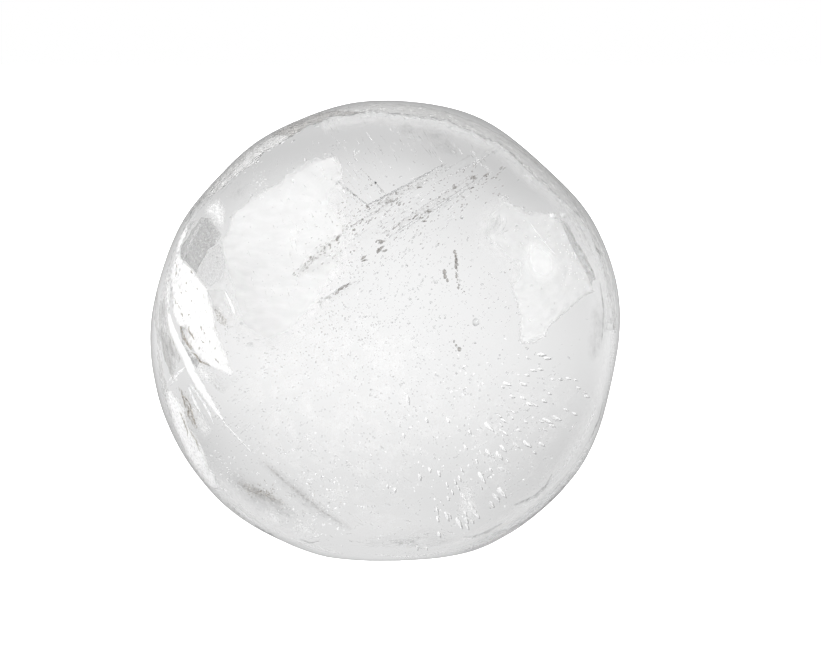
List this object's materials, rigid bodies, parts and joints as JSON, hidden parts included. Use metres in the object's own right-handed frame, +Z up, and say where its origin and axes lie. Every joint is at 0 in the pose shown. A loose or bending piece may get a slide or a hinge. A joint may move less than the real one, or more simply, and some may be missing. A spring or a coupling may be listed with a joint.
{
  "type": "ice ball",
  "caption": "Round ball of clear ice with trapped air bubbles and inner cracks, melted into soft flats, resting on a flat foot.",
  "frame": {"origin": "middle of the ball's width and depth, on the plane of the foot it rests on", "axes": "+Z up from the foot, -Y towards the front of the ball, +X to the right as seen from the front"},
  "size_m": [0.06, 0.0598, 0.0576],
  "materials": {
    "ice": "clear colourless ice, wet and glossy, see-through, index of refraction 1.31, with trapped air bubbles and frosty white cracks"
  },
  "bodies": {
    "root": {"ice_ball": "ice"}
  },
  "joints": []
}
